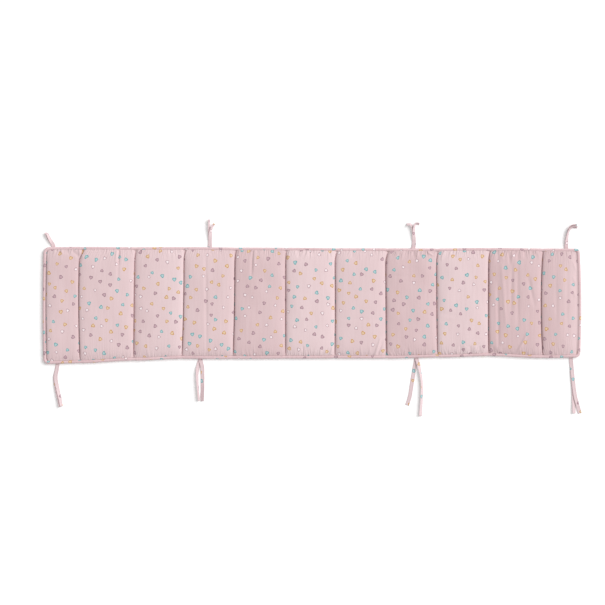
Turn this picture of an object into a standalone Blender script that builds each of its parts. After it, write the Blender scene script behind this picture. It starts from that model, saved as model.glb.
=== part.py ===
"""A quilted cot bumper, laid out flat: one filled pad, the piping round its edge and eight folded ties.

Metres, +Z up. +X runs along the pad and +Y points to its upper long edge. The origin is the bottom
centre of the whole thing, ties included. Tables are in millimetres from the middle of the pad.
"""

import math
from collections import namedtuple

import bmesh
import bpy
from mathutils import Vector

MM = 0.001
COLLECTION = "quilted_cot_bumper"

# Driving sizes
GAP = 0.3 * MM  # between pieces that are sewn together
PIPING_DIAMETER = 11.0 * MM
PIPING_LIFT = 3.4 * MM  # the ties pass under the piping
SEAM_BOTTOM = 6.6 * MM  # the two faces of the pad at its sewn lines
SEAM_TOP = 8.8 * MM
TIE_WIDTH = 13.0 * MM
TIE_THICKNESS = 1.4 * MM
TIE_PITCH = TIE_THICKNESS + GAP  # from one layer of a folded tie to the next

# The cloth between two sewn lines swells as a flattened oval: 1 in the middle, 0 at the line
SWELL_ACROSS = 2.6
SWELL_ALONG = 9.0
SWELL_ROUND = 1 / 2.2
UNDERSIDE_FULLNESS = 1.4  # above 1, so that the underside flattens on the surface it lies on

PINCH = 0.86  # the piping's radius where a quilting line meets it
PINCH_REACH = 7.0 * MM
DRAW_IN = 1.0 * MM  # how far a quilting line pulls the long edges in
END_STEPS = 10  # stretches of the piping along a short end
CORNER_STEPS = 3  # and round a corner

# The outline over the piping, and the quilting lines, from the left end to the right end. A line's x is given
# at the upper edge, in the middle and at the lower edge, and it leans over by lean near its upper end.
Line = namedtuple("Line", "upper_x middle_x lower_x lean upper_y lower_y")
LINES = (
    Line(-897.5, -900.0, -897.8, 0.0, 188.0, -203.0),
    Line(-776.6, -779.0, -775.0, 13.0, 190.0, -201.0),
    Line(-592.2, -594.6, -596.4, 2.8, 189.0, -192.5),
    Line(-428.2, -429.0, -434.5, 3.6, 189.2, -186.5),
    Line(-257.8, -258.7, -263.5, 2.8, 187.6, -186.8),
    Line(-88.0, -87.8, -88.2, 1.8, 187.0, -186.0),
    Line(76.3, 78.0, 76.5, 5.4, 185.4, -185.2),
    Line(245.8, 247.0, 248.2, 6.8, 185.0, -185.2),
    Line(416.4, 417.0, 419.6, 3.2, 184.6, -182.0),
    Line(590.5, 589.5, 590.0, 2.8, 186.4, -177.5),
    Line(771.0, 766.0, 771.0, 1.0, 184.4, -184.0),
    Line(895.0, 900.0, 896.5, 0.0, 182.8, -181.4),
)
LEAN_FROM = 0.9  # how far up a line it begins to lean
CORNER_RADIUS = {"upper_left": 20 * MM, "upper_right": 13 * MM, "lower_left": 16 * MM, "lower_right": 16 * MM}

# The height of each channel's crown over the surface that it lies on
CROWNS = [height * MM for height in (21, 24, 23.5, 24, 23, 24.5, 24, 23, 24.5, 22.5, 20.5)]

# Creases pressed into the cloth: channel, place across it at each end, stretch up the pad, depth, half width
Crease = namedtuple("Crease", "channel lower_across upper_across lower upper depth half_width")
CREASES = (
    Crease(1, 0.71, 0.71, 0.84, 1.0, 2.2, 7.0),
    Crease(3, 0.47, 0.43, 0.0, 1.0, 1.6, 8.0),
    Crease(4, 0.34, 0.34, 0.74, 1.0, 2.4, 7.0),
    Crease(6, 0.74, 0.92, 0.0, 0.2, 2.2, 8.0),
    Crease(9, 0.22, 0.26, 0.0, 1.0, 2.0, 8.0),
    Crease(9, 0.60, 0.52, 0.0, 1.0, 1.6, 8.0),
)
CREASE_FADE = 1 / 3  # the part of its length over which a crease fades out, short of an edge
CREASE_LIMIT = 0.5  # of the crown's height there

# Where the pad's rows and columns of faces stand, as parts of a half width: 0 in the middle, 1 at the line
COLUMNS = (0.0, 0.36, 0.65, 0.85, 0.96, 1.0)
ROWS = (0.0, 0.3, 0.6, 0.8, 0.9, 0.955, 0.985, 1.0)
COLUMN_ROOM = 1.6  # a column this near to a crease, in its half widths, gives way to the crease's own
PIPING_COLUMNS = (0.175, 0.32, 0.5, 0.68, 0.825)  # the pad's middle columns, as places across a channel

# Ties. Each is sewn in at root_x, and each of its two tails is a route from the edge to the tip: x, y and how
# far the strip leans on its edge, in degrees. The first tail lies on the surface and the second on the first.
Tie = namedtuple("Tie", "root_x first second")
TIES = {
    "tie_top_1": Tie(
        -864,
        ((-867, 198, 8), (-876, 211, 34), (-885, 225, 50), (-891, 236, 54)),
        ((-867, 198, 8), (-875, 210, 34), (-882, 223, 50), (-887, 234, 54)),
    ),
    "tie_top_2": Tie(
        -341,
        ((-341, 205, 0), (-342, 232, 30), (-344, 256, 62), (-344.5, 280, 70)),
        ((-341, 205, 0), (-341, 232, 30), (-338, 250, 58), (-326, 266, 58)),
    ),
    "tie_top_3": Tie(
        339,
        ((341, 205, 0), (339, 235, 36), (335, 254, 60), (328, 264, 58), (316, 263, 54)),
        ((341, 205, 0), (339, 235, 36), (340, 254, 60), (347, 266, 58), (359, 265, 54)),
    ),
    "tie_top_4": Tie(
        850,
        ((850, 200, 24), (852, 224, 52), (856, 244, 62), (866, 258, 66), (885, 262, 54)),
        ((850, 200, 24), (852, 224, 52), (857, 243, 62), (868, 255, 66), (887, 256, 54)),
    ),
    "tie_bottom_1": Tie(
        -850,
        ((-854, -222, 0), (-859, -250, -10), (-853, -290, -28), (-846, -322, -42), (-842, -346, -50)),
        ((-853, -222, 0), (-857, -250, -10), (-850, -290, -28), (-843, -322, -42), (-839, -344, -50)),
    ),
    "tie_bottom_2": Tie(
        -374,
        ((-381, -212, -14), (-384, -238, -46), (-382, -280, -62), (-378, -326, -66)),
        ((-367, -212, -12), (-366, -238, -4), (-366, -280, 18), (-366, -327, 28)),
    ),
    "tie_bottom_3": Tie(
        349,
        ((344, -208, 0), (341, -226, 0), (333, -276, 0), (327, -312, 0), (318, -341, 0)),
        ((356, -208, -24), (361, -228, -46), (367, -268, -56), (366, -320, -50), (362, -377, -40)),
    ),
    "tie_bottom_4": Tie(
        866,
        ((868, -206, 0), (870, -240, -10), (874, -286, -12), (875, -320, -14), (876, -368, -34)),
        ((868, -206, 0), (871, -240, -10), (876, -286, -12), (882, -320, -14), (896, -368, -4)),
    ),
}
TIE_SEWN_IN = 10.0 * MM  # how far the fold of a tie lies inside the outline
TIE_STEP = 7.0 * MM  # between two cross sections of a tie
TIE_SETTLE = 0.25  # how soon the second tail comes down to the surface where the two have parted
FOLD_STEPS = 4


# ---- curves between the tables' rows ----

def ease(t):
    """0 to 1 with level ends."""
    t = min(max(t, 0.0), 1.0)
    return t * t * (3.0 - 2.0 * t)


def eased_through(stops, t):
    """The value at t on an eased curve through (place, value) stops in rising order."""
    for (start, low), (end, high) in zip(stops, stops[1:]):
        if t <= end:
            return low + (high - low) * ease((t - start) / (end - start))
    return stops[-1][1]


def line_x(index, up):
    """x of a quilting line, or of an end, at a height from 0, the lower edge, to 1, the upper one."""
    line = LINES[index]
    bow = line.middle_x - (line.lower_x + line.upper_x) / 2
    straight = line.lower_x + (line.upper_x - line.lower_x) * up
    lean = line.lean * ease((up - LEAN_FROM) / (1.0 - LEAN_FROM))
    return (straight + bow * 4.0 * up * (1.0 - up) + lean) * MM


def edge_y(x, upper):
    """y of a long edge over the piping, drawn in a little at each quilting line."""
    stops = []
    for index, line in enumerate(LINES):
        place = line_x(index, 1.0 if upper else 0.0)
        pull = DRAW_IN if 0 < index < len(LINES) - 1 else 0.0
        height = (line.upper_y if upper else line.lower_y) * MM
        stops.append((place, height - pull if upper else height + pull))
    return eased_through(stops, x)


def corner_cut(x, upper, inset):
    """How far a rounded corner pulls a long edge in at x."""
    side = "upper" if upper else "lower"
    up = 1.0 if upper else 0.0
    left = line_x(0, up) + inset
    right = line_x(len(LINES) - 1, up) - inset
    cut = 0.0
    for corner, depth in ((side + "_left", x - left), (side + "_right", right - x)):
        radius = CORNER_RADIUS[corner] - inset
        if depth < radius:
            rise = radius - max(depth, 0.0)
            cut = radius - math.sqrt(radius * radius - rise * rise)
    return cut


# ---- the pad ----

PAD_INSET = PIPING_DIAMETER + GAP  # from the outline over the piping to the pad's own edge


def swell(part, power):
    """The fullness of the cloth at a part of the half width, 1 in the middle and 0 at the line."""
    return max(1.0 - abs(part) ** power, 0.0) ** SWELL_ROUND


def pad_x(channel, across, up):
    """x of a point of the pad from its channel, its place across it and its place up the pad, 0 to 1."""
    left = line_x(channel, up)
    right = line_x(channel + 1, up)
    if channel == 0:
        left += PAD_INSET
    if channel == len(LINES) - 2:
        right -= PAD_INSET
    return left + (right - left) * across


def pad_point(channel, across, up):
    """The plan place of a point of the pad."""
    x = pad_x(channel, across, up)
    lower = edge_y(x, False) + PAD_INSET + corner_cut(x, False, PAD_INSET)
    upper = edge_y(x, True) - PAD_INSET - corner_cut(x, True, PAD_INSET)
    return x, lower + (upper - lower) * up


def crease_depth(channel, across, up, width):
    """How deep the creases of a channel press the cloth in."""
    depth = 0.0
    for crease in CREASES:
        if crease.channel != channel or not crease.lower <= up <= crease.upper:
            continue
        along = (up - crease.lower) / (crease.upper - crease.lower)
        place = crease.lower_across + (crease.upper_across - crease.lower_across) * along
        aside = (across - place) * width / (crease.half_width * MM)
        from_start = 1.0 if crease.lower == 0.0 else ease(along / CREASE_FADE)
        from_end = 1.0 if crease.upper == 1.0 else ease((1.0 - along) / CREASE_FADE)
        depth += crease.depth * MM * from_start * from_end * math.exp(-aside * aside)
    return depth


def channel_columns(channel):
    """Where the columns of faces stand across a channel, closer at its lines and at its creases."""
    places = {0.5 - 0.5 * part for part in COLUMNS} | {0.5 + 0.5 * part for part in COLUMNS}
    width = line_x(channel + 1, 0.5) - line_x(channel, 0.5)
    for crease in CREASES:
        if crease.channel == channel:
            middle = (crease.lower_across + crease.upper_across) / 2
            half = crease.half_width * MM / width
            near = [place for place in places if abs(place - middle) < COLUMN_ROOM * half and 0 < place < 1]
            places -= set(near)
            places |= {middle - half, middle, middle + half}
    return sorted(places)


def pad_columns():
    """Every column of the pad as (channel, place across it), each quilting line once."""
    columns = []
    for channel in range(len(LINES) - 1):
        across = channel_columns(channel)
        last = channel == len(LINES) - 2
        columns += [(channel, place) for place in (across if last else across[:-1])]
    return columns


def material(name, colour, roughness):
    made = bpy.data.materials.new(name)
    made.use_nodes = True
    shader = made.node_tree.nodes["Principled BSDF"]
    shader.inputs["Base Color"].default_value = (*colour, 1.0)
    shader.inputs["Roughness"].default_value = roughness
    shader.inputs["Metallic"].default_value = 0.0
    return made


def linked(name, data, collection, finish):
    made = bpy.data.objects.new(name, data)
    collection.objects.link(made)
    data.materials.append(finish)
    return made


def make_pad(collection, finish):
    columns = pad_columns()
    rows = sorted({0.5 - 0.5 * part for part in ROWS} | {0.5 + 0.5 * part for part in ROWS})

    # A flat sheet with a column at each place across and a row at each place up, raised into a slab
    shape = bmesh.new()
    bmesh.ops.create_grid(shape, x_segments=len(columns) - 1, y_segments=len(rows) - 1, size=0.5)
    slab = bmesh.ops.extrude_face_region(shape, geom=shape.faces[:])
    raised = [part for part in slab["geom"] if isinstance(part, bmesh.types.BMVert)]
    bmesh.ops.translate(shape, verts=raised, vec=(0.0, 0.0, 1.0))

    for vert in shape.verts:
        channel, across = columns[round((vert.co.x + 0.5) * (len(columns) - 1))]
        up = rows[round((vert.co.y + 0.5) * (len(rows) - 1))]
        top_face = vert.co.z > 0.5
        x, y = pad_point(channel, across, up)
        width = line_x(channel + 1, up) - line_x(channel, up)
        full = swell(2.0 * across - 1.0, SWELL_ACROSS) * swell(2.0 * up - 1.0, SWELL_ALONG)
        if top_face:
            crown = (CROWNS[channel] - SEAM_TOP) * full
            z = SEAM_TOP + crown - min(crease_depth(channel, across, up, width), CREASE_LIMIT * crown)
        else:
            z = SEAM_BOTTOM * (1.0 - min(UNDERSIDE_FULLNESS * full, 1.0))
        vert.co = (x, y, z)

    bmesh.ops.recalc_face_normals(shape, faces=shape.faces[:])
    mesh = bpy.data.meshes.new("pad")
    shape.to_mesh(mesh)
    shape.free()
    mesh.shade_smooth()
    return linked("pad", mesh, collection, finish)


# ---- the piping ----

def along_edge(start, end, up):
    """The piping's stops along a long side as (x, radius factor), pinched at the quilting lines."""
    crossings = [line_x(index, up) for index in range(1, len(LINES) - 1)]
    posts = [start, *crossings, end]
    stops = []
    for left, right in zip(posts, posts[1:]):
        stops += [(left + (right - left) * place, 1.0) for place in PIPING_COLUMNS]
        if right != end:
            stops += [(right - PINCH_REACH, 1.0), (right, PINCH), (right + PINCH_REACH, 1.0)]
    return stops


def corner_arc(corner, upper, left, inset):
    """The piping's middle line round one corner, from its short side to its long side."""
    radius = CORNER_RADIUS[corner] - inset
    up = 1.0 if upper else 0.0
    end_x = line_x(0, up) + inset if left else line_x(len(LINES) - 1, up) - inset
    centre_x = end_x + radius if left else end_x - radius
    edge = edge_y(centre_x, upper)
    centre_y = edge - inset - radius if upper else edge + inset + radius
    outward_x = -1.0 if left else 1.0
    outward_y = 1.0 if upper else -1.0
    points = []
    for step in range(CORNER_STEPS + 1):
        angle = 0.5 * math.pi * step / CORNER_STEPS
        x = centre_x + outward_x * radius * math.cos(angle)
        y = centre_y + outward_y * radius * math.sin(angle)
        points.append((x, y, 1.0))
    return points


def piping_route():
    """The closed middle line of the piping: up the left end, along the top, down the right end and back."""
    inset = PIPING_DIAMETER / 2
    last = len(LINES) - 1
    arcs = {
        "upper_left": corner_arc("upper_left", True, True, inset),
        "upper_right": corner_arc("upper_right", True, False, inset),
        "lower_left": corner_arc("lower_left", False, True, inset),
        "lower_right": corner_arc("lower_right", False, False, inset),
    }

    def long_side(upper):
        side = "upper" if upper else "lower"
        start = arcs[side + "_left"][-1][0]
        end = arcs[side + "_right"][-1][0]
        offset = -inset if upper else inset
        stops = along_edge(start, end, 1.0 if upper else 0.0)
        return [(x, edge_y(x, upper) + offset, thin) for x, thin in stops]

    def short_side(left):
        side = "_left" if left else "_right"
        start = arcs["lower" + side][0][1]
        end = arcs["upper" + side][0][1]
        index, offset = (0, inset) if left else (last, -inset)
        heights = [start + (end - start) * (step + 0.5) / END_STEPS for step in range(END_STEPS)]
        return [(line_x(index, up_at(index, y)) + offset, y, 1.0) for y in heights]

    route = short_side(True) + arcs["upper_left"] + long_side(True)
    route += arcs["upper_right"][::-1] + short_side(False)[::-1]
    route += arcs["lower_right"] + long_side(False)[::-1] + arcs["lower_left"][::-1]
    return route


def up_at(index, y):
    """How far up the pad, 0 to 1, a height y lies at one of its ends."""
    low = LINES[index].lower_y * MM + PAD_INSET
    high = LINES[index].upper_y * MM - PAD_INSET
    return min(max((y - low) / (high - low), 0.0), 1.0)


def make_piping(collection, finish):
    curve = bpy.data.curves.new("piping", "CURVE")
    curve.dimensions = "3D"
    curve.twist_mode = "Z_UP"
    curve.bevel_depth = PIPING_DIAMETER / 2
    curve.bevel_resolution = 2
    curve.use_fill_caps = False
    route = piping_route()
    spline = curve.splines.new("POLY")
    spline.points.add(len(route) - 1)
    middle = PIPING_LIFT + PIPING_DIAMETER / 2
    for point, (x, y, thin) in zip(spline.points, route):
        point.co = (x, y, middle, 1.0)
        point.radius = thin
    spline.use_cyclic_u = True
    return linked("piping", curve, collection, finish)


# ---- the ties ----

def smooth_route(stops):
    """Points a step apart on a smooth curve through the stops, each stop (x, y, lean)."""
    padded = [2 * stops[0] - stops[1], *stops, 2 * stops[-1] - stops[-2]]
    fine = []
    for before, start, end, after in zip(padded, padded[1:], padded[2:], padded[3:]):
        count = max(round((end - start).xy.length / TIE_STEP), 1)
        for step in range(count):
            t = step / count
            bend = 2 * before - 5 * start + 4 * end - after
            twist = 3 * start - before - 3 * end + after
            fine.append(start + 0.5 * t * (end - before + t * (bend + t * twist)))
    fine.append(stops[-1])
    return fine


def tail_route(tie, tail, upper):
    """The middle line of a tail in plan, from its fold under the piping to its tip."""
    edge = edge_y(tie.root_x * MM, upper)
    inward = -1.0 if upper else 1.0
    sewn = Vector((tie.root_x * MM, edge + inward * TIE_SEWN_IN, 0.0))
    leaving = Vector((tie.root_x * MM, edge, 0.0))
    free = [Vector((x * MM, y * MM, math.radians(lean))) for x, y, lean in tail]
    return smooth_route([sewn, leaving, *free])


def tail_sections(route, partner, second):
    """Cross sections of a tail as (middle, half width vector), lying on the surface or on the other tail."""
    sections = []
    for index, point in enumerate(route):
        ahead = route[min(index + 1, len(route) - 1)]
        behind = route[max(index - 1, 0)]
        travel = (ahead - behind).xy.normalized()
        lean = point.z
        across = Vector((-travel.y * math.cos(lean), travel.x * math.cos(lean), math.sin(lean)))
        half = across * TIE_WIDTH / 2
        middle = Vector((point.x, point.y, TIE_THICKNESS / 2 * math.cos(lean) + abs(half.z)))
        if second:
            apart = min((point.xy - other.xy).length for other in partner)
            clear = TIE_WIDTH * math.cos(lean) + TIE_PITCH * math.sin(lean)
            over = 1.0 - ease((apart / clear - 1.0) / TIE_SETTLE)
            face = Vector((travel.x, travel.y, 0.0)).cross(across)
            middle += Vector((face.x, face.y, 1.0)) * TIE_PITCH * over
        sections.append((middle, half))
    return sections


def folded_sections(first, second):
    """The whole strip: in along the first tail, round the fold at the edge, and out along the second."""
    start, half = first[0]
    inward = Vector((start.x, start.y, 0.0)) - Vector((first[1][0].x, first[1][0].y, 0.0))
    inward.normalize()
    radius = TIE_PITCH / 2
    fold = []
    for step in range(1, FOLD_STEPS):
        angle = math.pi * step / FOLD_STEPS
        rise = Vector((0.0, 0.0, radius * (1.0 - math.cos(angle))))
        fold.append((start + inward * radius * math.sin(angle) + rise, half))
    return first[::-1] + fold + second


def make_tie(name, tie, collection, finish):
    upper = tie.first[-1][1] > 0
    routes = [tail_route(tie, tail, upper) for tail in (tie.first, tie.second)]
    first = tail_sections(routes[0], routes[1], False)
    second = tail_sections(routes[1], routes[0], True)
    sections = folded_sections(first, second)

    shape = bmesh.new()
    bmesh.ops.create_grid(shape, x_segments=1, y_segments=len(sections) - 1, size=0.5)
    for vert in shape.verts:
        middle, half = sections[round((vert.co.y + 0.5) * (len(sections) - 1))]
        vert.co = middle + half * (1.0 if vert.co.x > 0 else -1.0)
    mesh = bpy.data.meshes.new(name)
    shape.to_mesh(mesh)
    shape.free()
    tie = linked(name, mesh, collection, finish)
    cloth = tie.modifiers.new("cloth", "SOLIDIFY")
    cloth.thickness = TIE_THICKNESS
    cloth.offset = 0.0
    cloth.use_even_offset = True
    return tie


# ---- the whole thing ----

def centre_on_box(objects):
    """Moves everything so that the origin is the bottom centre of the whole box."""
    bpy.context.view_layer.update()
    ready = bpy.context.evaluated_depsgraph_get()
    corners = []
    for made in objects:
        mesh = made.evaluated_get(ready).to_mesh()
        corners += [vert.co.copy() for vert in mesh.vertices]
        made.evaluated_get(ready).to_mesh_clear()
    lows = [min(corner[axis] for corner in corners) for axis in range(3)]
    highs = [max(corner[axis] for corner in corners) for axis in range(3)]
    for made in objects:
        made.location = (-(lows[0] + highs[0]) / 2, -(lows[1] + highs[1]) / 2, -lows[2])


def main():
    for old in list(bpy.data.objects):
        bpy.data.objects.remove(old, do_unlink=True)
    collection = bpy.data.collections.new(COLLECTION)
    bpy.context.scene.collection.children.link(collection)

    quilted = material("quilted_cotton", (0.76, 0.58, 0.59), 0.86)
    rolled = material("piping_cotton", (0.72, 0.50, 0.52), 0.84)
    strip = material("tie_cotton", (0.74, 0.55, 0.57), 0.86)

    made = [make_pad(collection, quilted), make_piping(collection, rolled)]
    for name, tie in TIES.items():
        made.append(make_tie(name, tie, collection, strip))
    centre_on_box(made)


main()
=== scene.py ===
"""The looks of a quilted cot bumper laid out flat: printed cotton over puffed channels, a rolled piping
round the edge, and narrow folded ties.

Metres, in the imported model's frame: +X along the bumper, +Y to its upper long edge, +Z up. The tables are in
millimetres from the middle of the pad, as the bumper was measured, and SHIFT moves them into the frame.
"""
import math
from collections import namedtuple
from contextlib import contextmanager

import bpy
import numpy as np
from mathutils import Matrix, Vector


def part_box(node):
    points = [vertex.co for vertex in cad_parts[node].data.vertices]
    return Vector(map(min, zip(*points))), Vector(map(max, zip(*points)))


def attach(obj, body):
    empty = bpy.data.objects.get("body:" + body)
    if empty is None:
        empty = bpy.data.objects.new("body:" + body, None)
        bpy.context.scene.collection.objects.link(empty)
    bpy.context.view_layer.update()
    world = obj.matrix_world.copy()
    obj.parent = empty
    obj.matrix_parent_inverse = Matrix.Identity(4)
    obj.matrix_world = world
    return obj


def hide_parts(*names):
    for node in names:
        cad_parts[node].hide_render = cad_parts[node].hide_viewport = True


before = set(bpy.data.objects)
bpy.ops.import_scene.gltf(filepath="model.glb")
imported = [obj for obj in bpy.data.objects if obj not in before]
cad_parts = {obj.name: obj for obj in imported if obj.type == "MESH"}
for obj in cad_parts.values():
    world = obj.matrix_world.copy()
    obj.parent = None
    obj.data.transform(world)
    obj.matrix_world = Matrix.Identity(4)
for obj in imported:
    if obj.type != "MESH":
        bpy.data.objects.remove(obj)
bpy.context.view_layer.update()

MM = 0.001

# ---- driving sizes, in millimetres ----

GAP = 0.3  # between pieces that are sewn together
PIPING_RADIUS = 5.5
PIPING_LIFT = 3.4  # the ties pass under the piping
SEAM_BOTTOM, SEAM_TOP = 6.6, 7.4  # the pad's two faces at its sewn lines
TIE_WIDTH = 13.0
TIE_THICKNESS = 1.4
TIE_PITCH = TIE_THICKNESS + GAP  # from one layer of a folded tie to the next
TIE_SEWN_IN = 10.0  # how far the fold of a tie lies inside the outline
DRAW_IN = 1.0  # how far a quilting line pulls the long edges in
PAD_INSET = 2.0 * PIPING_RADIUS + GAP

# The left end, the ten quilting lines and the right end: x at the upper edge, in the middle and at the lower
# edge, how far the line leans to the right at its top, and y of the two long edges there
Line = namedtuple("Line", "upper_x middle_x lower_x lean upper_y lower_y")
LINES = (
    Line(-897.5, -900.0, -897.8, 0.0, 188.0, -203.0),
    Line(-776.6, -779.0, -775.0, 13.0, 190.0, -201.0),
    Line(-592.2, -594.6, -596.4, 2.8, 189.0, -192.5),
    Line(-428.2, -429.0, -434.5, 3.6, 189.2, -186.5),
    Line(-257.8, -258.7, -263.5, 2.8, 187.6, -186.8),
    Line(-88.0, -87.8, -88.2, 1.8, 187.0, -186.0),
    Line(76.3, 78.0, 76.5, 5.4, 185.4, -185.2),
    Line(245.8, 247.0, 248.2, 6.8, 185.0, -185.2),
    Line(416.4, 417.0, 419.6, 3.2, 184.6, -182.0),
    Line(590.5, 589.5, 590.0, 2.8, 186.4, -177.5),
    Line(771.0, 766.0, 771.0, 1.0, 184.4, -184.0),
    Line(895.0, 900.0, 896.5, 0.0, 182.8, -181.4),
)
LEAN_FROM = 0.9  # how far up a line it begins to lean
CORNER_RADIUS = {"upper": (20.0, 13.0), "lower": (16.0, 16.0)}  # at the left end and at the right

# Each channel's cloth: the height of its crown, how far its fullest part lies to the right, how steeply it
# rises at its left and right, how much wider it is cut than the crown needs, how light its ground is painted at
# its left and right, which is painted light and shade for how the light falls on it, and how much it puckers at
# its two borders
Channel = namedtuple(
    "Channel",
    "crown skew steep_left steep_right fullness light_left light_right upper_pucker lower_pucker",
)
CHANNELS = (
    Channel(21.0, 0.00, 4.0, 5.0, 0.004, 0.68, 0.32, 0.7, 0.3),
    Channel(24.0, 0.00, 5.5, 5.0, 0.004, 0.68, 0.64, 0.5, 0.3),
    Channel(23.5, 0.08, 4.0, 5.0, 0.004, 0.58, 0.98, 0.6, 0.4),
    Channel(24.0, 0.00, 5.0, 4.5, 0.004, 0.66, 0.56, 0.6, 0.4),
    Channel(23.0, 0.04, 6.5, 3.4, 0.003, 0.24, 0.30, 0.6, 0.5),
    Channel(24.5, -0.04, 4.2, 4.0, 0.003, 0.92, 1.00, 0.8, 0.7),
    Channel(24.0, 0.00, 5.0, 3.8, 0.004, 0.74, 0.74, 0.6, 0.5),
    Channel(23.0, 0.03, 6.5, 2.8, 0.014, 0.26, 0.30, 0.9, 0.8),
    Channel(24.5, -0.06, 4.2, 4.0, 0.006, 1.06, 0.80, 0.8, 1.0),
    Channel(22.5, 0.04, 6.5, 3.2, 0.020, 0.10, 0.16, 1.0, 0.8),
    Channel(20.5, -0.14, 6.0, 2.2, 0.008, 0.00, 0.60, 0.5, 0.4),
)

SHIFT = np.array((
    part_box("pad")[0].x / MM - (LINES[0].middle_x + PAD_INSET),
    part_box("pad")[1].y / MM - (max(line.upper_y for line in LINES) - DRAW_IN - PAD_INSET),
    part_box("pad")[0].z / MM,
))


# ---- the layout ----

def ease(t):
    """0 to 1 with level ends, for a number or an array."""
    t = np.clip(t, 0.0, 1.0)
    return t * t * (3.0 - 2.0 * t)


def line_x(index, up):
    """x of a quilting line, or of an end, at a height from 0, the lower edge, to 1, the upper one."""
    line = LINES[index]
    bow = line.middle_x - (line.lower_x + line.upper_x) / 2
    straight = line.lower_x + (line.upper_x - line.lower_x) * up
    return straight + bow * 4.0 * up * (1.0 - up) + line.lean * ease((up - LEAN_FROM) / (1.0 - LEAN_FROM))


def edge_y(x, upper):
    """y of a long edge over the piping, drawn in a little at each quilting line."""
    places = np.array([line_x(index, float(upper)) for index in range(len(LINES))])
    heights = np.array([line.upper_y if upper else line.lower_y for line in LINES])
    heights[1:-1] += -DRAW_IN if upper else DRAW_IN
    index = np.clip(np.searchsorted(places, x) - 1, 0, len(LINES) - 2)
    part = ease((x - places[index]) / (places[index + 1] - places[index]))
    return heights[index] + (heights[index + 1] - heights[index]) * part


def corner_cut(x, upper):
    """How far a rounded corner pulls the pad's edge in at x."""
    left = line_x(0, float(upper)) + PAD_INSET
    right = line_x(len(LINES) - 1, float(upper)) - PAD_INSET
    cut = np.zeros_like(x)
    for outer, depth in zip(CORNER_RADIUS["upper" if upper else "lower"], (x - left, right - x)):
        radius = outer - PAD_INSET
        rise = radius - np.clip(depth, 0.0, radius)
        cut = np.maximum(cut, radius - np.sqrt(radius * radius - rise * rise))
    return cut


def pad_y(x, up):
    """y of a place on the pad, up from 0 at its lower edge to 1 at its upper one, inside the piping."""
    lower = edge_y(x, False) + PAD_INSET + corner_cut(x, False)
    upper = edge_y(x, True) - PAD_INSET - corner_cut(x, True)
    return lower + (upper - lower) * up


# ---- meshes ----

def select_only(piece):
    bpy.ops.object.select_all(action="DESELECT")
    piece.select_set(True)
    bpy.context.view_layer.objects.active = piece


@contextmanager
def edit_mode():
    bpy.ops.object.mode_set(mode="EDIT")
    yield
    bpy.ops.object.mode_set(mode="OBJECT")


def add_object(name, data):
    thing = bpy.data.objects.new(name, data)
    bpy.context.scene.collection.objects.link(thing)
    return thing


def read_values(items, field, kind=float, width=1):
    """One field of a mesh's vertices, corners or attribute as an array, with width values for each."""
    values = np.empty(len(items) * width, kind)
    items.foreach_get(field, values)
    return values.reshape(-1, width) if width > 1 else values


def grid_sheet(name, places, flat):
    """A sheet through places[row, column], and its flat cloth, in mm, as its UV map in metres."""
    rows, columns = places.shape[:2]
    bpy.ops.object.select_all(action="DESELECT")
    bpy.ops.mesh.primitive_grid_add(x_subdivisions=columns - 1, y_subdivisions=rows - 1, size=1.0)
    sheet = bpy.context.object
    sheet.name = name
    mesh = sheet.data
    mesh.name = name
    at = read_values(mesh.vertices, "co", width=3)
    column = np.rint((at[:, 0] + 0.5) * (columns - 1)).astype(int)
    row = np.rint((at[:, 1] + 0.5) * (rows - 1)).astype(int)
    put_vertices(mesh, places[row, column])
    corner = read_values(mesh.loops, "vertex_index", int)
    mesh.uv_layers.active.data.foreach_set("uv", (flat[row, column][corner] * MM).ravel())
    return sheet, row, column


def vertex_places(mesh):
    """The mesh's vertices in the tables' millimetres."""
    return read_values(mesh.vertices, "co", width=3) / MM - SHIFT


def put_vertices(mesh, places):
    mesh.vertices.foreach_set("co", ((places + SHIFT) * MM).ravel())
    mesh.update()


def lengths_along(points):
    """How far along a line of points each one lies."""
    return np.concatenate(([0.0], np.cumsum(np.linalg.norm(np.diff(points, axis=0), axis=1))))


def values_along(at, run, values):
    """The rows of values, which belong to the lengths in run, read off at other lengths."""
    return np.stack([np.interp(at, run, values[:, axis]) for axis in range(values.shape[1])], axis=1)


def unit(vectors):
    return vectors / np.linalg.norm(vectors, axis=1)[:, None]


NOISE_WAVES, WAVE_RANGE = 9, (0.7, 1.6)  # how many waves it adds up, and their lengths as shares of its size


def smooth_noise(x, y, seed, size):
    """Soft unevenness about 0 over a plan, seldom past 1, its bumps about size across."""
    draw = np.random.default_rng(seed)
    value = np.zeros_like(x)
    for _ in range(NOISE_WAVES):
        angle = draw.uniform(0.0, 2.0 * math.pi)
        wave = size * draw.uniform(*WAVE_RANGE)
        phase = draw.uniform(0.0, 2.0 * math.pi)
        value += np.sin((x * math.cos(angle) + y * math.sin(angle)) * 2.0 * math.pi / wave + phase)
    return value / (NOISE_WAVES / 2)


# ---- the pad ----

FULL_ACROSS = 2.6  # how full the channels are from line to line
FULL_ALONG, STEEP_ALONG = 9.0, 2.8  # and from border to border, and how steep there
SEAM_STRIP = 1.2  # how far from a quilting line the cloth is pressed flat
PROFILE_STEPS = 800  # in the profile along which the cloth of a channel is measured
PAD_ROWS = 92
COLUMN_STEP = 2.6  # of cloth, across the pad
COLUMN_CROWDING = 0.25  # how much closer the columns stand at the sewn lines
ROW_CROWDING = 0.55  # and the rows at the borders
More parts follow.
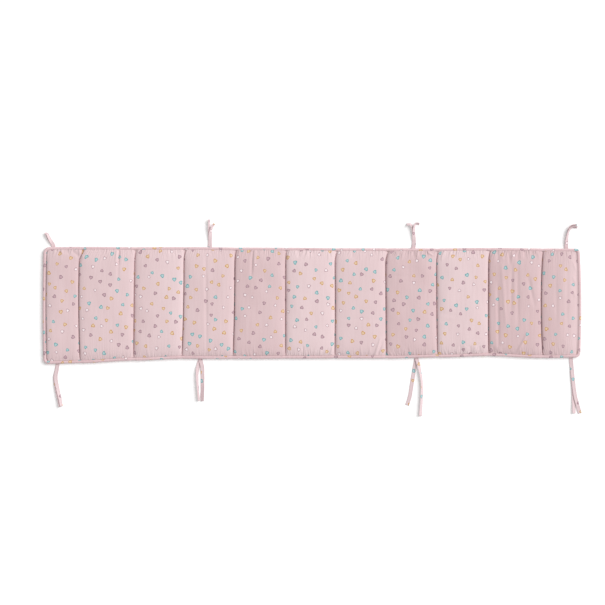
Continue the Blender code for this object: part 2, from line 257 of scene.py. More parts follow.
# How far the cloth rises beside the piping, and how far it laps over it
BORDERS = {"upper": (7.0, 2.8), "lower": (5.6, 1.8), "left": (6.0, 0.0), "right": (4.8, 2.4)}
BORDER_REACH, END_REACH = 0.045, 9.0  # how far in they reach: a share of the pad's width, and mm from an end
TAUT = 0.004  # how much shorter the cloth is than its quilting lines
LUMPS, LUMP_SIZE, LUMP_SEED = 0.8, 95.0, 3  # the filling's lumps: their height, and how far apart they lie
DIPS, DIP_SIZE, DIP_SEED = 0.5, LUMP_SIZE / 3, 4  # how unevenly the quilting lines pull down

# The underside is pressed flat on what it lies on
UNDER_FULLNESS = 1.4  # above 1, so that it is flat up to near the lines
UNDER_DETAIL = 0.35  # the share of its faces that are kept
UNDER_CUT = 1.0  # metres along the cloth from the top to where it is cut
UNDER_DROP = 1000.0  # how far down it is made first, so that it can be told from the top
ROUNDING = 0.001  # of a place in a mesh

# The cover is simulated cloth: cut flat, drawn in to its sewn lines, and let settle on the filling
BATTING_HOLD = 0.65  # how firmly the filling holds the cloth between the sewn lines
SEAM_HOLD, SEAM_REACH = 0.9, 4  # and in how many columns on each side of a sewn line
SEWING_FRAMES, CLOTH_FRAMES = 14, 24
CLOTH_REACH = 4.0  # how far the cloth may move from the stuffed shape
CLOTH = dict(
    quality=5, mass=0.3, air_damping=2.0, tension_stiffness=25.0, compression_stiffness=25.0,
    shear_stiffness=5.0, bending_stiffness=0.5, vertex_group_mass="held", use_pressure=True,
    uniform_pressure_force=6.0,
)

# Folds that show by themselves: x and y of both ends, height, below 0 for a trough, and half width
FOLDS = (
    (-802, 178, -775, 151, -2.1, 5), (-778, 178, -763, 150, 1.5, 4), (-854, 181, -842, 165, -1.4, 4),
    (-839, 181, -827, 158, 1.4, 4), (-819, 181, -812, 161, -1.5, 4), (-644, 191, -646, 124, -5.5, 3),
    (-652, 188, -654, 130, 2.0, 3.5), (-646, 140, -648, 70, -1.4, 4), (-474, 185, -473, 165, -1.5, 3.5),
    (-463, 185, -461, 161, -1.7, 3.5), (-451, 185, -452, 165, -1.5, 3.5), (-355, 190, -352, -184, -2.0, 4),
    (-198, 190, -202, 85, -3.8, 3), (-190, 190, -194, 110, 1.8, 4), (-45, 181, -45, 151, -2.0, 4),
    (2, 178, 0, 158, -1.5, 3.5), (9, 175, 9, 158, -1.4, 3.5), (-30, -142, -31, -172, -1.8, 4),
    (69, -140, 62, -182, 2.8, 3.5), (230, -112, 209, -178, 3.0, 3.5), (238, -122, 218, -178, -2.7, 3.5),
    (139, 184, 134, 150, -1.8, 4), (281, 160, 292, 183, 1.8, 4), (292, 165, 301, 183, 1.5, 4),
    (340, 178, 341, 148, -1.8, 3.5), (349, 178, 349, 155, 1.4, 3.5), (359, 178, 358, 158, -1.5, 3.5),
    (383, 173, 406, 158, 2.8, 3), (319, -148, 318, -172, -1.7, 3.5), (329, -150, 330, -172, 1.2, 3.5),
    (277, -150, 274, -170, -1.2, 3.5), (476, 180, 476, 152, -1.8, 4), (496, -140, 494, -168, -1.8, 4),
    (510, -138, 511, -168, 1.8, 4), (526, -140, 528, -168, -2.0, 4), (544, -140, 545, -168, 1.5, 4),
    (561, -142, 556, -168, -1.7, 4), (621, 178, 620, 135, -1.7, 4), (636, 178, 636, 142, 1.5, 4),
    (657, 178, 660, 128, -2.0, 4), (668, 178, 668, 145, 1.7, 4), (687, 178, 687, 132, -1.8, 4),
    (699, 178, 699, 148, 1.5, 4), (711, 178, 711, 150, -1.5, 4), (619, 78, 623, -170, -2.9, 5),
    (632, 140, 648, -96, 2.4, 6), (666, 140, 665, -36, -2.5, 6), (686, 140, 687, -96, -2.2, 6),
    (719, 96, 744, -16, -2.5, 6), (722, -96, 684, -166, 3.0, 3.5), (603, -142, 610, -170, -1.7, 4),
    (623, -142, 627, -170, 1.7, 4), (815, 145, 815, -96, -1.2, 6), (850, 155, 852, -130, -1.0, 6),
    (872, 140, 882, 108, 1.5, 4), (870, 92, 882, 62, 1.5, 4), (870, 46, 882, 20, 1.4, 4),
    (92, -51, 236, -54, -1.0, 3), (262, 92, 330, 90, -0.9, 3), (424, -34, 486, -41, -1.2, 3),
    (424, -58, 470, -60, -1.0, 3),
)
FOLD_FADE = 3  # how late it fades out towards its ends
FOLD_FREE = 5.0  # how far from a border a fold has its full height
FOLD_FULL = 1 / 3  # and how full the channel is there


def swell(part, full, steep):
    """The fullness of the cloth at a part of the half width, 1 in the middle and 0 at the line."""
    return np.clip(1.0 - np.abs(part) ** full, 0.0, None) ** (1.0 / steep)


def bulge(across, cloth, strip):
    """The crown's profile across a channel, between the flat strips beside its lines."""
    part = 2.0 * (across - cloth.skew * 4.0 * across * (1.0 - across)) - 1.0
    part = np.clip(part / (1.0 - 2.0 * strip), -1.0, 1.0)
    return swell(part, FULL_ACROSS, np.where(part < 0.0, cloth.steep_left, cloth.steep_right))


def crowded(count, crowding):
    """Places from 0 to 1 that stand closer together at both ends."""
    even = np.linspace(0.0, 1.0, count)
    return even - crowding * np.sin(2.0 * math.pi * even) / (2.0 * math.pi)


def channel_places(channel, ups):
    """A channel over its filling as (x, up, fullness) at [row, column], and its cloth's flat x from 0."""
    left = line_x(channel, ups)
    right = line_x(channel + 1, ups)
    if channel == 0:
        left += PAD_INSET
    if channel == len(CHANNELS) - 1:
        right -= PAD_INSET
    cloth = CHANNELS[channel]
    fine = 0.5 - 0.5 * np.cos(np.linspace(0.0, math.pi, PROFILE_STEPS))
    strip = SEAM_STRIP / (right - left).mean()
    profile = (cloth.crown - SEAM_TOP) * bulge(fine, cloth, strip)

    def girth(row, full):
        """The length of the cloth from the left line to each place across, over a crown of that fullness."""
        return lengths_along(np.stack((fine * (right[row] - left[row]), profile * full), axis=1))

    cut = girth(len(ups) // 2, 1.0)[-1] * (1.0 + cloth.fullness)
    parts = crowded(int(round(cut / COLUMN_STEP)) + 1, COLUMN_CROWDING)
    places = np.empty((len(ups), len(parts), 3))
    for row, up in enumerate(ups):
        full = swell(2.0 * up - 1.0, FULL_ALONG, STEEP_ALONG)
        length = girth(row, full)
        across = np.interp(parts * length[-1], length, fine)
        places[row, :, 0] = left[row] + (right[row] - left[row]) * across
        places[row, :, 1] = up
        places[row, :, 2] = bulge(across, cloth, strip) * full
    return places, parts * cut


def pad_layout():
    """The cover over its filling, its flat layout, how full it is at each place, and its sewn columns."""
    ups = crowded(PAD_ROWS, ROW_CROWDING)
    strips, flats, crowns, sewn = [], [], [], [0]
    for channel in range(len(CHANNELS)):
        places, flat_x = channel_places(channel, ups)
        keep = len(flat_x) if channel == len(CHANNELS) - 1 else len(flat_x) - 1
        strips.append(places[:, :keep])
        flats.append(flat_x[:keep] + (flats[-1][-1] + step if flats else 0.0))
        crowns.append(np.full(keep, CHANNELS[channel].crown))
        step = flat_x[-1] - flat_x[-2]
        sewn.append(sewn[-1] + len(flat_x) - 1)
    places = np.concatenate(strips, axis=1)
    flat_x = np.concatenate(flats)
    full = places[:, :, 2].copy()
    x = places[:, :, 0].copy()
    y = pad_y(x, places[:, :, 1])
    places[:, :, 1] = y
    lumps = LUMPS * smooth_noise(x, y, LUMP_SEED, LUMP_SIZE) * full
    dips = DIPS * smooth_noise(x, y, DIP_SEED, DIP_SIZE) * (1.0 - full)
    z = SEAM_TOP + (np.concatenate(crowns) - SEAM_TOP) * full + lumps + dips
    across = np.sqrt(places[PAD_ROWS // 2, :, 2])
    up = ups[:, None]
    along = swell(2.0 * up - 1.0, FULL_ALONG, STEEP_ALONG)
    for (rise, lap), axis, outward, near, share in (
        (BORDERS["upper"], 1, 1.0, (1.0 - up) / BORDER_REACH, across),
        (BORDERS["lower"], 1, -1.0, up / BORDER_REACH, across),
        (BORDERS["left"], 0, -1.0, (x - x[:, :1]) / END_REACH, along),
        (BORDERS["right"], 0, 1.0, (x[:, -1:] - x) / END_REACH, along),
    ):
        beside = (1.0 - ease(near)) * share
        z = np.maximum(z, SEAM_TOP + rise * beside)
        places[:, :, axis] += lap * outward * beside
    places[:, :, 2] = z
    flat = np.stack(np.broadcast_arrays(flat_x - flat_x[-1] / 2, y * (1.0 - TAUT)), axis=2)
    return places, flat, full, sewn


def settle_cloth(sheet, stuffed, hold):
    """Draws the flat cover in to its sewn lines over the filling, and lets the cloth between them settle."""
    sheet.shape_key_add(name="laid_flat", from_mix=False)
    sewn = sheet.shape_key_add(name="sewn", from_mix=False)
    sewn.data.foreach_set("co", ((stuffed + SHIFT) * MM).ravel())
    for frame_number, share in ((1, 0.0), (SEWING_FRAMES, 1.0)):
        sewn.value = share
        sewn.keyframe_insert("value", frame=frame_number)
    group = sheet.vertex_groups.new(name="held")
    for strength in np.unique(hold):
        group.add(np.flatnonzero(hold == strength).tolist(), float(strength), "REPLACE")
    cover = sheet.modifiers.new("cover", "CLOTH")
    for setting, value in CLOTH.items():
        setattr(cover.settings, setting, value)
    cover.settings.effector_weights.gravity = 0.0
    cover.collision_settings.use_collision = False
    cover.point_cache.frame_end = CLOTH_FRAMES
    scene = bpy.context.scene
    for frame_number in range(1, CLOTH_FRAMES + 1):
        scene.frame_set(frame_number)
    settled = bpy.data.meshes.new_from_object(sheet.evaluated_get(bpy.context.evaluated_depsgraph_get()))
    places = vertex_places(settled)
    bpy.data.meshes.remove(settled)
    sheet.modifiers.remove(cover)
    sheet.shape_key_clear()
    sheet.vertex_groups.clear()
    scene.frame_set(1)
    return places


def fold_height(x, y):
    """How far the folds lift the cloth, or press it in, at each place."""
    lift = np.zeros_like(x)
    for x0, y0, x1, y1, height, half_width in FOLDS:
        run = np.array((x1 - x0, y1 - y0))
        along = np.clip(((x - x0) * run[0] + (y - y0) * run[1]) / (run @ run), 0.0, 1.0)
        aside = np.hypot(x - x0 - along * run[0], y - y0 - along * run[1])
        fade = 1.0 - np.abs(2.0 * along - 1.0) ** FOLD_FADE
        lift += height * fade * np.exp(-((aside / half_width) ** 2))
    return lift


def settled_top(sheet, places, row, column, sewn):
    """The cover's top as its cloth settles, within CLOTH_REACH of its place and inside its channel."""
    stuffed = places[row, column]
    hold = np.full(len(row), BATTING_HOLD)
    beside = range(-SEAM_REACH, SEAM_REACH + 1)
    hold[np.isin(column, [line + step for line in sewn for step in beside])] = SEAM_HOLD
    hold[np.isin(column, sewn)] = 1.0
    hold[(row == 0) | (row == PAD_ROWS - 1)] = 1.0
    moved = settle_cloth(sheet, stuffed, hold) - stuffed
    far = np.linalg.norm(moved, axis=1)
    top = stuffed + moved * (CLOTH_REACH / np.maximum(far, CLOTH_REACH))[:, None]
    channel = np.clip(np.searchsorted(sewn, column, side="right") - 1, 0, len(CHANNELS) - 1)
    lines = np.array(sewn)
    top[:, 0] = np.clip(top[:, 0], places[row, lines[channel], 0], places[row, lines[channel + 1], 0])
    return top


def add_underside(sheet, places, full, row, column):
    """Adds the same sheet again, pulled down to lie flat on the surface under the filling."""
    mesh = sheet.data
    for name, values in (("row", row), ("column", column)):
        mesh.attributes.new(name, "INT", "POINT").data.foreach_set("value", values.astype(np.int32))
    select_only(sheet)
    with edit_mode():
        bpy.ops.mesh.select_all(action="SELECT")
        bpy.ops.mesh.extrude_region_move(TRANSFORM_OT_translate={"value": (0.0, 0.0, -UNDER_DROP * MM)})
    now = vertex_places(mesh)
    under = now[:, 2] < -UNDER_DROP / 2
    row, column = (read_values(mesh.attributes[name].data, "value", np.int32) for name in ("row", "column"))
    below = places[row, column]
    below[:, 2] = SEAM_BOTTOM * (1.0 - np.minimum(UNDER_FULLNESS * full[row, column], 1.0))
    put_vertices(mesh, np.where(under[:, None], below, now))
    last_row, last_column = places.shape[0] - 1, places.shape[1] - 1
    inner = under & (row > 0) & (row < last_row) & (column > 0) & (column < last_column)
    with edit_mode():
        bpy.ops.mesh.select_mode(type="VERT")
        bpy.ops.mesh.select_all(action="DESELECT")
    mesh.vertices.foreach_set("select", inner)
    with edit_mode():
        bpy.ops.mesh.decimate(ratio=UNDER_DETAIL)
        bpy.ops.mesh.select_all(action="SELECT")
        bpy.ops.mesh.normals_make_consistent(inside=False)
    for name in ("row", "column"):
        mesh.attributes.remove(mesh.attributes[name])

    under = vertex_places(mesh)[:, 2] < SEAM_BOTTOM + ROUNDING
    corner = read_values(mesh.loops, "vertex_index", int)
    uv = read_values(mesh.uv_layers.active.data, "uv", width=2)
    uv[under[corner], 1] += UNDER_CUT
    mesh.uv_layers.active.data.foreach_set("uv", uv.ravel())


def make_pad():
    """The stuffed cover, and where each channel's cloth begins in x of its UV map."""
    places, flat, full, sewn = pad_layout()
    sheet, row, column = grid_sheet("quilted_pad", np.pad(flat, ((0, 0), (0, 0), (0, 1))), flat)
    top = places[row, column]
    top = settled_top(sheet, places, row, column, sewn)
    room = np.minimum(top[:, 1] - places[0, column, 1], places[-1, column, 1] - top[:, 1])
    free = ease(room / FOLD_FREE) * ease(full[row, column] / FOLD_FULL)
    top[:, 2] += fold_height(top[:, 0], top[:, 1]) * free
    put_vertices(sheet.data, top)
    add_underside(sheet, places, full, row, column)
    sheet.data.shade_smooth()
    return sheet, flat[0, sewn[:-1], 0] * MM


# ---- the piping ----

PIPING_STEP = 3.0
PIPING_SIDES = 18
PINCH, PINCH_REACH = 0.14, 4.5  # how much thinner it is at a quilting line, and how far from there
CORNER_STEPS = 8
PIPING_SLACK = 0.15  # how much thinner the roll is than its solid, for its gathers

# Its gathers: the height of each kind, their number, how they wind, how far they stray and how often
GATHERS = ((0.10, 560, 2.0, 2.0, 23), (0.12, 347, -1.0, 1.7, 31), (0.10, 121, 3.0, 0.0, 0))
# how strong they are, how much and how often that swings along the piping, and where the first swing is
GATHER_MEAN, GATHER_SWING, GATHER_SWINGS, GATHER_START = 0.6, 0.4, 17, 1.0


def end_up(index, y):
    """How far up the pad, 0 to 1, a height y lies at one of its ends."""
    low = LINES[index].lower_y + PAD_INSET
    high = LINES[index].upper_y - PAD_INSET
    return np.clip((y - low) / (high - low), 0.0, 1.0)


def corner_arc(upper, left):
    """The piping's middle line round one corner, from its short side to its long side."""
    outer = CORNER_RADIUS["upper" if upper else "lower"][0 if left else 1]
    radius = outer - PIPING_RADIUS
    aside = 1.0 if left else -1.0
    inward = -1.0 if upper else 1.0
    centre_x = line_x(0 if left else len(LINES) - 1, float(upper)) + aside * outer
    centre_y = edge_y(centre_x, upper) + inward * outer
    angle = np.linspace(0.0, 0.5 * math.pi, CORNER_STEPS + 1)
    x = centre_x - aside * radius * np.cos(angle)
    return np.stack((x, centre_y - inward * radius * np.sin(angle)), axis=1)


def piping_route():
    """The closed middle line of the piping: up the left end, along the top, down the right end and back."""
    upper_left, upper_right = corner_arc(True, True), corner_arc(True, False)
    lower_left, lower_right = corner_arc(False, True), corner_arc(False, False)

    def long_side(start, end, upper):
        x = np.arange(start + PIPING_STEP, end - PIPING_STEP / 2, PIPING_STEP)
        return np.stack((x, edge_y(x, upper) + (-PIPING_RADIUS if upper else PIPING_RADIUS)), axis=1)

    def short_side(low, high, index, offset):
        y = np.arange(low + PIPING_STEP, high - PIPING_STEP / 2, PIPING_STEP)
        return np.stack((line_x(index, end_up(index, y)) + offset, y), axis=1)

    return np.concatenate((
        short_side(lower_left[0, 1], upper_left[0, 1], 0, PIPING_RADIUS),
        upper_left,
        long_side(upper_left[-1, 0], upper_right[-1, 0], True),
        upper_right[::-1],
        short_side(lower_right[0, 1], upper_right[0, 1], len(LINES) - 1, -PIPING_RADIUS)[::-1],
        lower_right,
        long_side(lower_left[-1, 0], lower_right[-1, 0], False)[::-1],
        lower_left[::-1],
    ))


def make_piping():
    """A sheet wrapped round the closed route, gathered a little and pinched at the quilting lines."""
    route = piping_route()
    loop = np.concatenate((route, route[:1]))
    run = lengths_along(loop)
    count = int(run[-1] / PIPING_STEP)
    along = np.linspace(0.0, run[-1], count + 1)
    middle = values_along(along, run, loop)
    travel = np.roll(middle[:-1], -1, axis=0) - np.roll(middle[:-1], 1, axis=0)
    travel = unit(np.concatenate((travel, travel[:1])))
    outward = np.stack((-travel[:, 1], travel[:, 0]), axis=1)

    pinch = np.zeros(count + 1)
    for index in range(1, len(LINES) - 1):
        for upper in (False, True):
            end_x = line_x(index, float(upper))
            away = np.linalg.norm(middle - (end_x, edge_y(end_x, upper)), axis=1)
            pinch += PINCH * np.exp(-(np.maximum(away - PIPING_RADIUS, 0.0) / PINCH_REACH) ** 2)
    angle, far = np.meshgrid(np.linspace(0.0, 2.0 * math.pi, PIPING_SIDES + 1), along)
    turn = 2.0 * math.pi / run[-1] * far
    gather = np.zeros_like(far)
    for high, number, winding, stray, strays in GATHERS:
        gather += high * np.sin(number * turn + winding * angle + stray * np.sin(strays * turn))
    gather *= GATHER_MEAN + GATHER_SWING * np.sin(GATHER_SWINGS * turn + GATHER_START)
    radius = PIPING_RADIUS * (1.0 - pinch[:, None]) + gather - PIPING_SLACK
    plan = middle[:, None] + outward[:, None] * (radius * np.cos(angle))[:, :, None]
    height = PIPING_LIFT + PIPING_RADIUS + radius * np.sin(angle)
    places = np.concatenate((plan, height[:, :, None]), axis=2)
    places[-1] = places[0]
    places[:, -1] = places[:, 0]
    flat = np.stack((far, angle * PIPING_RADIUS), axis=2)
    roll = grid_sheet("piping_roll", places, flat)[0]
    close_up(roll)
    return roll


def close_up(piece):
    """Joins a wrapped sheet's meeting edges, caps its open ends and turns its faces outwards."""
    select_only(piece)
    with edit_mode():
        bpy.ops.mesh.select_all(action="SELECT")
        bpy.ops.mesh.remove_doubles(threshold=ROUNDING * MM)
        bpy.ops.mesh.fill_holes(sides=0)
        bpy.ops.mesh.select_all(action="SELECT")
        bpy.ops.mesh.normals_make_consistent(inside=False)
    piece.data.shade_smooth()


# ---- the ties ----

Tie = namedtuple("Tie", "root_x first second")
TIES = {
    "tie_top_1": Tie(
        -864,
        ((-867, 198, 8), (-876, 211, 34), (-885, 225, 50), (-891, 236, 54)),
        ((-867, 198, 8), (-875, 210, 34), (-882, 223, 50), (-887, 234, 54)),
    ),
    "tie_top_2": Tie(
        -341,
        ((-341, 205, 0), (-342, 232, 30), (-344, 256, 62), (-344.5, 280, 70)),
        ((-341, 205, 0), (-341, 232, 30), (-338, 250, 58), (-326, 266, 58)),
    ),
    "tie_top_3": Tie(
        339,
        ((341, 205, 0), (339, 235, 36), (335, 254, 60), (328, 264, 58), (316, 263, 54)),
        ((341, 205, 0), (339, 235, 36), (340, 254, 60), (347, 266, 58), (359, 265, 54)),
    ),
    "tie_top_4": Tie(
        850,
        ((850, 200, 24), (852, 224, 52), (856, 244, 62), (866, 258, 66), (885, 262, 54)),
        ((850, 200, 24), (852, 224, 52), (857, 243, 62), (868, 255, 66), (887, 256, 54)),
    ),
    "tie_bottom_1": Tie(
        -850,
        ((-854, -222, 0), (-859, -250, -10), (-853, -290, -28), (-846, -322, -42), (-842, -346, -50)),
        ((-853, -222, 0), (-857, -250, -10), (-850, -290, -28), (-843, -322, -42), (-839, -344, -50)),
    ),
    "tie_bottom_2": Tie(
        -374,
        ((-381, -212, -14), (-384, -238, -46), (-382, -280, -62), (-378, -326, -66)),
        ((-367, -212, -12), (-366, -238, -4), (-366, -280, 18), (-366, -327, 28)),
    ),
    "tie_bottom_3": Tie(
        349,
        ((344, -208, 0), (341, -226, 0), (333, -276, 0), (327, -312, 0), (318, -341, 0)),
        ((356, -208, -24), (361, -228, -46), (367, -268, -56), (366, -320, -50), (362, -377, -40)),
    ),
    "tie_bottom_4": Tie(
        866,
        ((868, -206, 0), (870, -240, -10), (874, -286, -12), (875, -320, -14), (876, -368, -34)),
        ((868, -206, 0), (871, -240, -10), (876, -286, -12), (882, -320, -14), (896, -368, -4)),
    ),
}
TIE_STEP = 2.0
TIE_SETTLE = 0.25  # over what share of its width a tail comes down off the other one
FOLD_STEPS = 6
# A tie's section as (place across, share of the thickness), its two turned edges a little thicker
TIE_EDGE = ((1.0, 0.0), (0.975, 0.62), (0.90, 1.0), (0.74, 0.98), (0.56, 0.72), (0.30, 0.70), (0.0, 0.72))
HEM_LENGTH, HEM_FADE, HEM_EXTRA = 7.0, 1.5, 0.22  # a tail's turned end, how softly it ends, how much thicker
TIP_ROUND, TIP_LEAST = 1.2, 0.25  # how far its tip is rounded off, and to what share of the thickness
TIE_WAVES = np.array((4.3, 6.9, 31.0))  # how long its two kinds of edge puckers and its narrow places are
EDGE_PUCKER, NARROWING = 0.08, 0.025  # and their size, as shares of the thickness and the width
TIE_LIFT = 0.05  # of its lowest places off the surface that it lies on
BACK_CUT, NEXT_CUT = 3.0 * TIE_WIDTH, 97.0  # on the cloth, from a tie's face to its back and to the next tie
STITCH_INSET, STITCH_HEIGHT = 2.2, 0.98  # from a tie's edge, and as a share of its half thickness


def smooth_route(stops):
    """Points a step apart on a smooth curve through the stops, each stop (x, y, lean)."""
    padded = [2 * stops[0] - stops[1], *stops, 2 * stops[-1] - stops[-2]]
    fine = []
    for before, start, end, after in zip(padded, padded[1:], padded[2:], padded[3:]):
        count = max(round((end - start).xy.length / TIE_STEP), 1)
        for step in range(count):
            t = step / count
            bend = 2 * before - 5 * start + 4 * end - after
            twist = 3 * start - before - 3 * end + after
            fine.append(start + 0.5 * t * (end - before + t * (bend + t * twist)))
    fine.append(stops[-1])
    return fine


def tail_route(tie, tail, upper):
    """The middle line of a tail in plan, from its fold under the piping to its tip."""
    edge = float(edge_y(tie.root_x, upper))
    inward = -1.0 if upper else 1.0
    sewn = Vector((tie.root_x, edge + inward * TIE_SEWN_IN, 0.0))
    leaving = Vector((tie.root_x, edge, 0.0))
    free = [Vector((x, y, math.radians(lean))) for x, y, lean in tail]
    return smooth_route([sewn, leaving, *free])


def tail_sections(route, partner, second):
    """Cross sections of a tail as (middle, half width vector), lying on the surface or on the other tail."""
    sections = []
    for index, point in enumerate(route):
        ahead = route[min(index + 1, len(route) - 1)]
        behind = route[max(index - 1, 0)]
        travel = (ahead - behind).xy.normalized()
        lean = point.z
        across = Vector((-travel.y * math.cos(lean), travel.x * math.cos(lean), math.sin(lean)))
        half = across * TIE_WIDTH / 2
        middle = Vector((point.x, point.y, TIE_THICKNESS / 2 * math.cos(lean) + abs(half.z)))
        if second:
            apart = min((point.xy - other.xy).length for other in partner)
            clear = TIE_WIDTH * math.cos(lean) + TIE_PITCH * math.sin(lean)
            over = 1.0 - float(ease((apart / clear - 1.0) / TIE_SETTLE))
            face = Vector((travel.x, travel.y, 0.0)).cross(across)
            middle += Vector((face.x, face.y, 1.0)) * TIE_PITCH * over
        sections.append((middle, half))
    return sections


def strip_sections(tie):
    """The whole strip: in along the first tail, round the fold at the edge, and out along the second."""
    upper = tie.first[-1][1] > 0
    routes = [tail_route(tie, tail, upper) for tail in (tie.first, tie.second)]
    first = tail_sections(routes[0], routes[1], False)
    second = tail_sections(routes[1], routes[0], True)
    start, half = first[0]
    inward = (start - first[1][0]).normalized()
    radius = TIE_PITCH / 2
    fold = []
    for step in range(1, FOLD_STEPS):
        angle = math.pi * step / FOLD_STEPS
        rise = Vector((0.0, 0.0, radius * (1.0 - math.cos(angle))))
        fold.append((start + inward * radius * math.sin(angle) + rise, half))
    sections = first[::-1] + fold + second
    middles = np.array([tuple(middle) for middle, _ in sections])
    halves = np.array([tuple(half) for _, half in sections])
    return middles, halves


def make_tie(name, tie, seed):
    """A narrow strip with turned edges and ends; returns it, its length, and its stitches' places."""
    middles, halves = strip_sections(tie)
    run = lengths_along(middles)
    face = unit(np.cross(unit(np.gradient(middles, axis=0)), halves))

    ring = [*TIE_EDGE, *((-place, share) for place, share in TIE_EDGE[-2::-1])]
    ring += [(place, -share) for place, share in ring[-2:0:-1]]
    across, thick = np.array(ring + ring[:1]).T
    from_tip = np.minimum(run, run[-1] - run)
    hem = 1.0 + HEM_EXTRA * (1.0 - ease((from_tip - HEM_LENGTH) / HEM_FADE))
    start = np.random.default_rng(seed).uniform(0.0, 6.0, 3)
    waves = np.sin(2.0 * math.pi * run[:, None] / TIE_WAVES + start)
    pucker = EDGE_PUCKER * (waves[:, 0] + waves[:, 1])
    narrow = 1.0 - NARROWING * (1.0 + waves[:, 2])
    end = np.clip(from_tip / TIP_ROUND, 0.0, 1.0)
    round_off = TIP_LEAST + (1.0 - TIP_LEAST) * np.sqrt(1.0 - (1.0 - end) ** 2)

    places = middles[:, None] + halves[:, None] * (across * narrow[:, None])[:, :, None]
    depth = thick * (hem * round_off)[:, None] * (TIE_THICKNESS / 2)
    depth *= 1.0 + pucker[:, None] * across ** 2 * np.sign(thick)
    places += face[:, None] * depth[:, :, None]
    places[:, :, 2] = np.maximum(places[:, :, 2], TIE_LIFT)
    cut = across * TIE_WIDTH / 2 + np.where(thick < 0.0, BACK_CUT, 0.0) + NEXT_CUT * seed
    flat = np.stack(np.broadcast_arrays(cut, run[:, None]), axis=2)
    strip = grid_sheet(name + "_strip", places, flat)[0]
    close_up(strip)
    seams = []
    for tail in (face[:, 2] < 0.0, face[:, 2] > 0.0):
        up = face[tail] * np.sign(face[tail, 2:])
        for side in (-1.0, 1.0):
            aside = side * (1.0 - 2.0 * STITCH_INSET / TIE_WIDTH)
            over = up * (TIE_THICKNESS / 2 * STITCH_HEIGHT)
            seams.append((middles[tail] + halves[tail] * aside + over, up))
    return strip, run[-1], seams


# ---- the sewing ----

STITCH_LENGTH = 2.5
STITCH_PITCH = 3.4
THREAD, THREAD_BUMPS = 0.5, 900.0  # its thickness, and how many bumps it has in a metre
STITCH_SIDES, STITCH_CUTS = 6, 3
STITCH_TAPER, STITCH_DIP = 0.75, 0.45  # how its ends thin out, and how many threads deep they go
STITCH_AIM = 0.5  # how far to each side the seam's direction is taken
QUILTING_ENDS, QUILTING_POINTS = (0.012, 0.988), 160  # from where to where up the pad it is stitched
QUILTING_LIFT = 0.3  # of its stitches' middles over the cloth


def make_stitch():
    """One stitch lying along x, its two ends dipping into the cloth: verts and faces."""
    bpy.ops.object.select_all(action="DESELECT")
    bpy.ops.mesh.primitive_cylinder_add(
        vertices=STITCH_SIDES, radius=THREAD / 2, depth=STITCH_LENGTH, end_fill_type="TRIFAN"
    )
    stitch = bpy.context.object
    with edit_mode():
        bpy.ops.mesh.select_all(action="DESELECT")
    for edge in stitch.data.edges:
        ends = [stitch.data.vertices[index].co for index in edge.vertices]
        edge.select = abs(ends[0].z - ends[1].z) > STITCH_LENGTH / 2
    with edit_mode():
        bpy.ops.mesh.subdivide(number_cuts=STITCH_CUTS)
    verts = np.array([tuple(vert.co) for vert in stitch.data.vertices])
    faces = [tuple(face.vertices) for face in stitch.data.polygons]
    bpy.data.objects.remove(stitch)
    part = verts[:, 2] / (STITCH_LENGTH / 2)
    plump = np.sqrt(np.clip(1.0 - STITCH_TAPER * part ** 2, 0.0, 1.0))
    height = verts[:, 1] * plump - STITCH_DIP * THREAD * part ** 2
    return np.stack((verts[:, 2], verts[:, 0] * plump, height), axis=1), faces


def sew(name, seams):
    """Joined stitches along each seam, a seam being its points and the way up at each."""
    stitch, faces = make_stitch()
    verts, polygons = [], []
    for points, ups in seams:
        run = lengths_along(points)
        at = np.arange(STITCH_PITCH / 2, run[-1], STITCH_PITCH)
        middle = values_along(at, run, points)
        along = unit(values_along(at + STITCH_AIM, run, points) - values_along(at - STITCH_AIM, run, points))
        side = unit(np.cross(values_along(at, run, ups), along))
        for place, axes in zip(middle, np.stack((along, side, np.cross(along, side)), axis=1)):
            polygons += [tuple(corner + len(verts) * len(stitch) for corner in face) for face in faces]
            verts.append(place + stitch @ axes)
    mesh = bpy.data.meshes.new(name)
    mesh.from_pydata(((np.concatenate(verts) + SHIFT) * MM).tolist(), [], polygons)
    mesh.shade_smooth()
    return add_object(name, mesh)


def quilting_seams():
    """The ten quilting lines, along the bottom of the valleys between the channels."""
    seams = []
    ups = np.linspace(*QUILTING_ENDS, QUILTING_POINTS)
    for index in range(1, len(LINES) - 1):
        x = line_x(index, ups)
        y = pad_y(x, ups)
        z = SEAM_TOP + DIPS * smooth_noise(x, y, DIP_SEED, DIP_SIZE) + QUILTING_LIFT
        seams.append((np.stack((x, y, z), axis=1), np.tile((0.0, 0.0, 1.0), (len(ups), 1))))
    return seams


# ---- finishes ----

def ink(red, green, blue):
    """A colour as linear light, from its 0 to 255 values on a screen."""
    shades = np.array((red, green, blue)) / 255
    linear = np.where(shades < 0.04045, shades / 12.92, ((shades + 0.055) / 1.055) ** 2.4)
    return [*linear.tolist(), 1.0]


def set_ramp(ramp, interpolation, stops):
    """Greys along a ramp, each stop a place and its grey."""
    ramp.interpolation = interpolation
    while len(ramp.elements) < len(stops):
        ramp.elements.new(1.0)
    for element, (place, grey) in zip(ramp.elements, stops):
        element.position = place
        element.color = (grey, grey, grey, 1.0)


